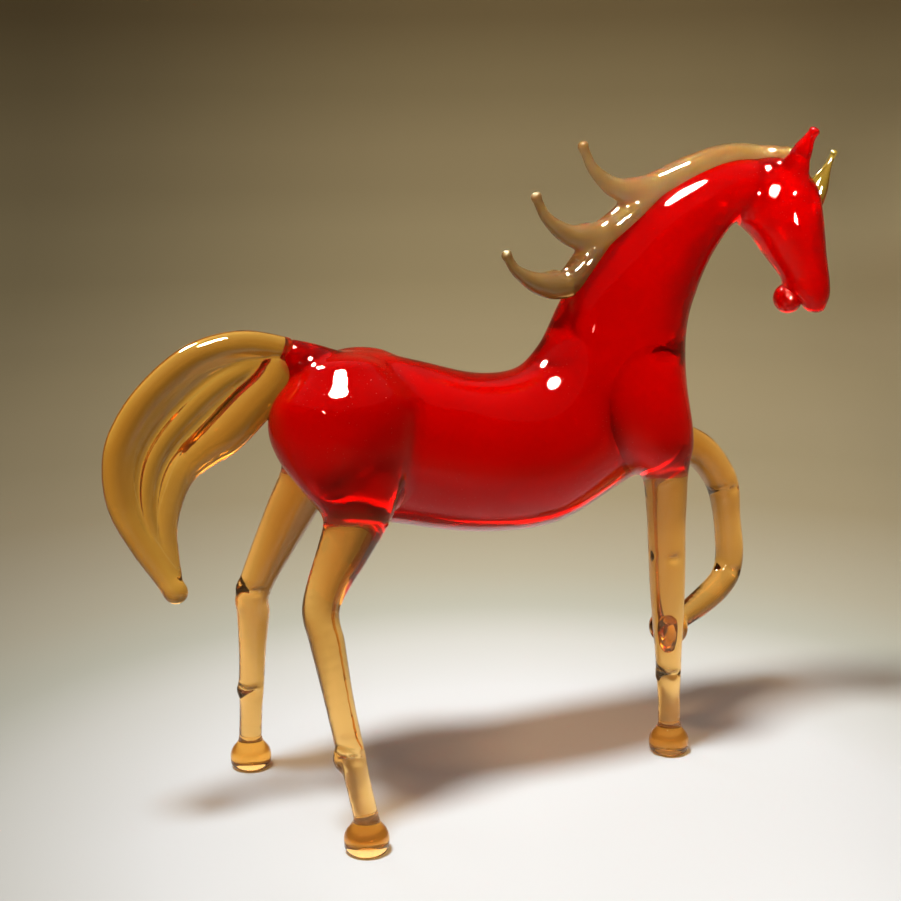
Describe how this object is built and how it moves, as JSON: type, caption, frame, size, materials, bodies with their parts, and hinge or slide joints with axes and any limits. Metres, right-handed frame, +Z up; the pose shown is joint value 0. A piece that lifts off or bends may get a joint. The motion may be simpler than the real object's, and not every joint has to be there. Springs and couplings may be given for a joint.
{
  "type": "glass horse figurine",
  "caption": "Lampworked glass horse ornament, red body and head, amber legs with bead hooves, smoky curled mane and pressed tail, one foreleg raised.",
  "frame": {"origin": "centre of the object's box at floor level", "axes": "+X from tail to head, +Y to the horse's left, +Z up"},
  "size_m": [0.1158, 0.0414, 0.1009],
  "materials": {
    "red_glass": "clear red soft glass, fire polished",
    "amber_glass": "clear amber soft glass, fire polished",
    "hoof_glass": "deep amber glass bead with a flattened sole",
    "smoky_glass": "smoky tan glass, drawn and fire polished",
    "olive_glass": "clear olive soft glass, the red not struck, drawn to a beaded tip",
    "tail_glass": "smoky amber glass, pressed into flutes"
  },
  "bodies": {
    "root": {"torso": "red_glass", "head": "red_glass", "right_ear": "red_glass", "left_ear": "olive_glass", "mane_lock_upper": "smoky_glass", "mane_lock_middle": "smoky_glass", "mane_lock_lower": "smoky_glass", "right_haunch": "red_glass", "left_haunch": "red_glass", "right_shoulder": "red_glass", "left_shoulder": "red_glass", "right_hind_leg": "amber_glass", "left_hind_leg": "amber_glass", "right_foreleg": "amber_glass", "left_foreleg": "amber_glass", "right_hind_hoof": "hoof_glass", "left_hind_hoof": "hoof_glass", "right_fore_hoof": "hoof_glass", "left_fore_hoof": "hoof_glass", "dock": "red_glass", "tail_outer_strand": "tail_glass", "tail_inner_lock": "tail_glass", "tail_fan": "tail_glass"}
  },
  "joints": []
}
